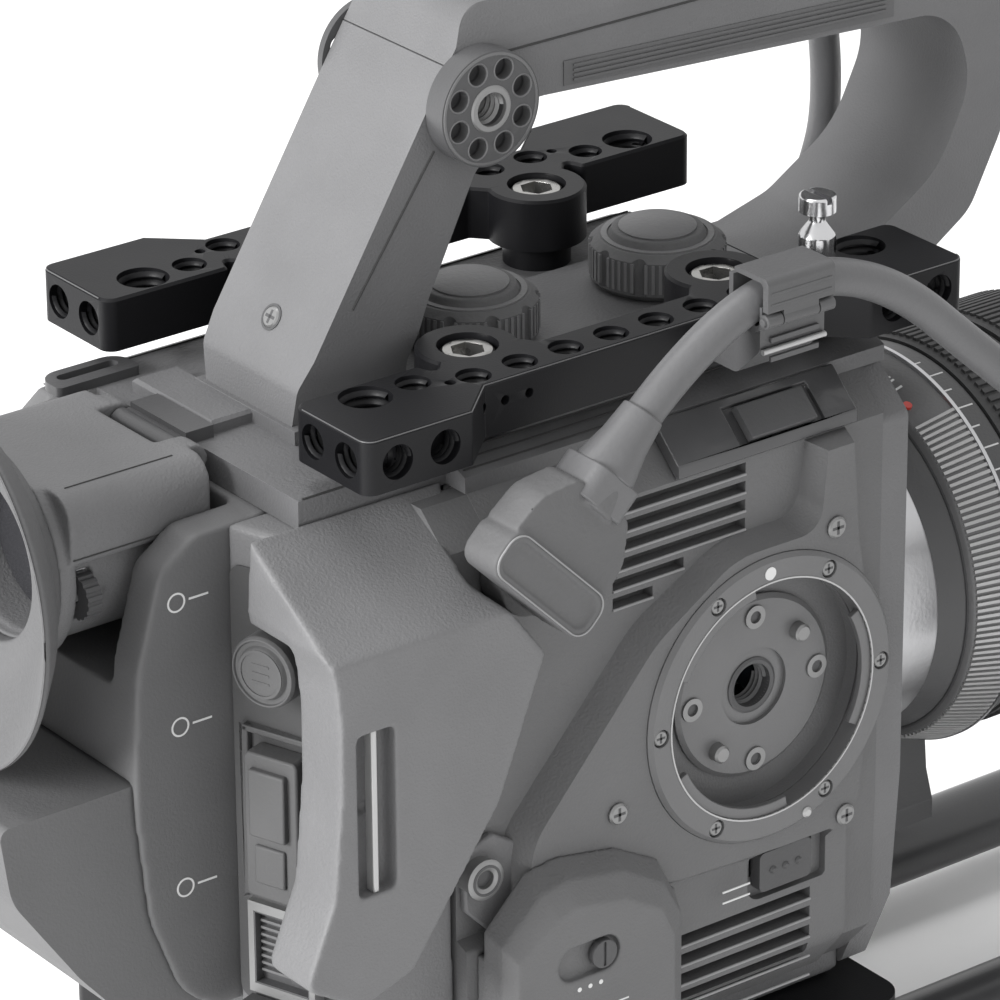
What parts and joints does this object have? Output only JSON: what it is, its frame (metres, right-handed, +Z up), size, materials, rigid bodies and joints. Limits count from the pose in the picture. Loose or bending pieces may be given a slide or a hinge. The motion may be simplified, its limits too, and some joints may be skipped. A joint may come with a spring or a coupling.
{
  "type": "cinema camera rig",
  "caption": "Camcorder body on a rod baseplate with cheese plates beside its carrying handle, a lens on an adapter, a tilting viewfinder and a side hand grip",
  "frame": {"origin": "centre of the tripod thread's mouth in the flat underside of the baseplate", "axes": "+X towards the lens, +Y to the camera's left, +Z up"},
  "size_m": [0.3167, 0.1615, 0.2398],
  "materials": {
    "body_plastic": "fine leather-grained mid grey plastic",
    "handle_plastic": "fine grained mid grey plastic",
    "deck_plastic": "satin mid grey plastic",
    "dark_plastic": "satin dark plastic",
    "gloss_dark": "gloss dark plastic",
    "rubber_grey": "matte grey rubber",
    "rubber_dark": "matte dark rubber",
    "lead_rubber": "satin grey cable jacket",
    "black_anodised": "fine bead-blasted black anodised",
    "dark_metal": "satin dark painted metal",
    "silver_metal": "satin turned metal",
    "steel": "bright steel",
    "chrome": "polished nickel",
    "glass": "coated optical glass",
    "circuit": "green circuit board",
    "optic_grey": "neutral grey filter glass"
  },
  "bodies": {
    "camera": {"baseplate": "black_anodised", "rods": "black_anodised", "right_shell": "body_plastic", "left_shell": "body_plastic", "top_deck": "deck_plastic", "front_frame": "body_plastic", "rear_housing": "body_plastic", "rear_block": "body_plastic", "sockets": "steel", "grip_mount_ring": "dark_metal", "side_screws": "steel", "grip_mount_disc": "dark_metal", "grip_mount_pins": "steel", "badge_panel": "gloss_dark", "xlr_cover": "body_plastic", "main_board": "circuit", "chassis": "silver_metal", "sensor_module": "dark_metal", "lens_mount": "steel", "lens_adapter": "dark_metal", "lens_barrel": "dark_metal", "lens_glass": "glass", "deck_fittings": "dark_metal", "handle_frame": "handle_plastic", "handle_grip_pad": "rubber_grey", "handle_top_cover": "handle_plastic", "handle_rosettes": "dark_metal", "cheese_plate_right": "black_anodised", "cheese_plate_left": "black_anodised", "plate_screws": "steel", "lead_plug": "rubber_grey", "grip_lead": "lead_rubber", "handle_cable": "lead_rubber", "cable_clamp": "rubber_dark", "grip_arm": "black_anodised", "grip_rosette": "dark_metal", "hand_grip": "body_plastic"},
    "clamp_knob": {"rod_clamp_knob": "dark_metal"},
    "lens_zoom": {"zoom_ring": "rubber_dark"},
    "lens_focus": {"focus_ring": "rubber_dark"},
    "finder": {"evf_tube": "body_plastic", "eyecup": "rubber_grey", "evf_lens": "glass"},
    "diopter": {"diopter_dial": "dark_plastic"},
    "rear_knob": {"handle_knob_rear": "rubber_grey"},
    "front_knob": {"handle_knob_front": "rubber_grey"},
    "record": {"record_button": "dark_plastic"},
    "release": {"grip_release_slider": "dark_plastic"},
    "latch": {"badge_latch": "dark_plastic"},
    "input": {"input_switch": "dark_plastic"},
    "filter_dial": {"nd_dial": "dark_plastic"},
    "filter_wheel": {"nd_turret": "optic_grey"},
    "fan": {"fan_rotor": "dark_plastic"},
    "cap": {"sdi_cap": "rubber_grey"},
    "hdmi": {"hdmi_cover": "rubber_grey"},
    "lan": {"lan_flap": "rubber_grey"},
    "battery_pack": {"battery": "dark_plastic"},
    "jaw": {"clamp_jaw": "rubber_dark"},
    "zoom_rocker": {"grip_zoom_rocker": "dark_plastic"},
    "hook": {"tape_hook": "chrome"}
  },
  "joints": [
    {"name": "rod_clamp_turn", "type": "hinge", "parent": "camera", "child": "clamp_knob", "pos_m": [0.042, 0.045, 0.012], "axis": [0, 1, 0], "continuous": true},
    {"name": "zoom_turn", "type": "hinge", "parent": "camera", "child": "lens_zoom", "pos_m": [0.106, 0, 0.1025], "axis": [1, 0, 0], "range_deg": [0, 70]},
    {"name": "focus_turn", "type": "hinge", "parent": "camera", "child": "lens_focus", "pos_m": [0.124, 0, 0.1025], "axis": [1, 0, 0], "range_deg": [-90, 90]},
    {"name": "finder_tilt", "type": "hinge", "parent": "camera", "child": "finder", "pos_m": [-0.074, 0.005, 0.1686], "axis": [0, 1, 0], "range_deg": [0, 60]},
    {"name": "diopter_turn", "type": "hinge", "parent": "finder", "child": "diopter", "pos_m": [-0.0999, -0.0124, 0.152], "axis": [1, 0, 0], "range_deg": [-90, 90]},
    {"name": "rear_knob_turn", "type": "hinge", "parent": "camera", "child": "rear_knob", "pos_m": [-0.0076, 0, 0.175], "axis": [0, 0, 1], "continuous": true},
    {"name": "front_knob_turn", "type": "hinge", "parent": "camera", "child": "front_knob", "pos_m": [0.0354, 0, 0.175], "axis": [0, 0, 1], "continuous": true},
    {"name": "record_press", "type": "slide", "parent": "camera", "child": "record", "axis": [0, 0, -1], "range_m": [0, 0.0012], "stiffness_N_per_m": 600},
    {"name": "release_slide", "type": "slide", "parent": "camera", "child": "release", "axis": [1, 0, 0], "range_m": [0, 0.0038], "stiffness_N_per_m": 300},
    {"name": "latch_slide", "type": "slide", "parent": "camera", "child": "latch", "axis": [1, 0, 0], "range_m": [-0.002, 0.002]},
    {"name": "input_slide", "type": "slide", "parent": "camera", "child": "input", "axis": [1, 0, 0], "range_m": [-0.0068, 0.0005]},
    {"name": "filter_dial_turn", "type": "hinge", "parent": "camera", "child": "filter_dial", "pos_m": [0.0325, 0.05, 0.113], "axis": [0, 1, 0], "range_deg": [-270, 0]},
    {"name": "filter_wheel_turn", "type": "hinge", "parent": "camera", "child": "filter_wheel", "pos_m": [0.035, 0.012, 0.1105], "axis": [1, 0, 0], "range_deg": [-270, 0]},
    {"name": "fan_spin", "type": "hinge", "parent": "camera", "child": "fan", "pos_m": [-0.01, -0.032, 0.112], "axis": [0, 1, 0], "continuous": true},
    {"name": "cap_pull", "type": "slide", "parent": "camera", "child": "cap", "axis": [-1, 0, 0], "range_m": [0, 0.012]},
    {"name": "hdmi_open", "type": "hinge", "parent": "camera", "child": "hdmi", "pos_m": [-0.07841, -0.02724, 0.11], "axis": [0, 0, -1], "range_deg": [0, 65]},
    {"name": "lan_open", "type": "hinge", "parent": "camera", "child": "lan", "pos_m": [-0.07517, -0.03564, 0.0722], "axis": [-0.3285, 0.9445, 0], "range_deg": [-15, 20]},
    {"name": "battery_out", "type": "slide", "parent": "camera", "child": "battery_pack", "axis": [-1, 0, 0], "range_m": [0, 0.055]},
    {"name": "jaw_open", "type": "hinge", "parent": "camera", "child": "jaw", "pos_m": [0.017, -0.0618, 0.1902], "axis": [1, 0, 0], "range_deg": [0, 80]},
    {"name": "rocker_tilt", "type": "hinge", "parent": "camera", "child": "zoom_rocker", "pos_m": [0.1435, -0.091, 0.1488], "axis": [1, 0, 0], "range_deg": [-6, 6], "stiffness_Nm_per_rad": 0.05},
    {"name": "hook_turn", "type": "hinge", "parent": "camera", "child": "hook", "pos_m": [0.045, -0.0337, 0.19], "axis": [0, 0, 1], "continuous": true}
  ],
  "couplings": [
    {"joint": "filter_wheel_turn", "follows": "filter_dial_turn", "ratio": 1}
  ]
}
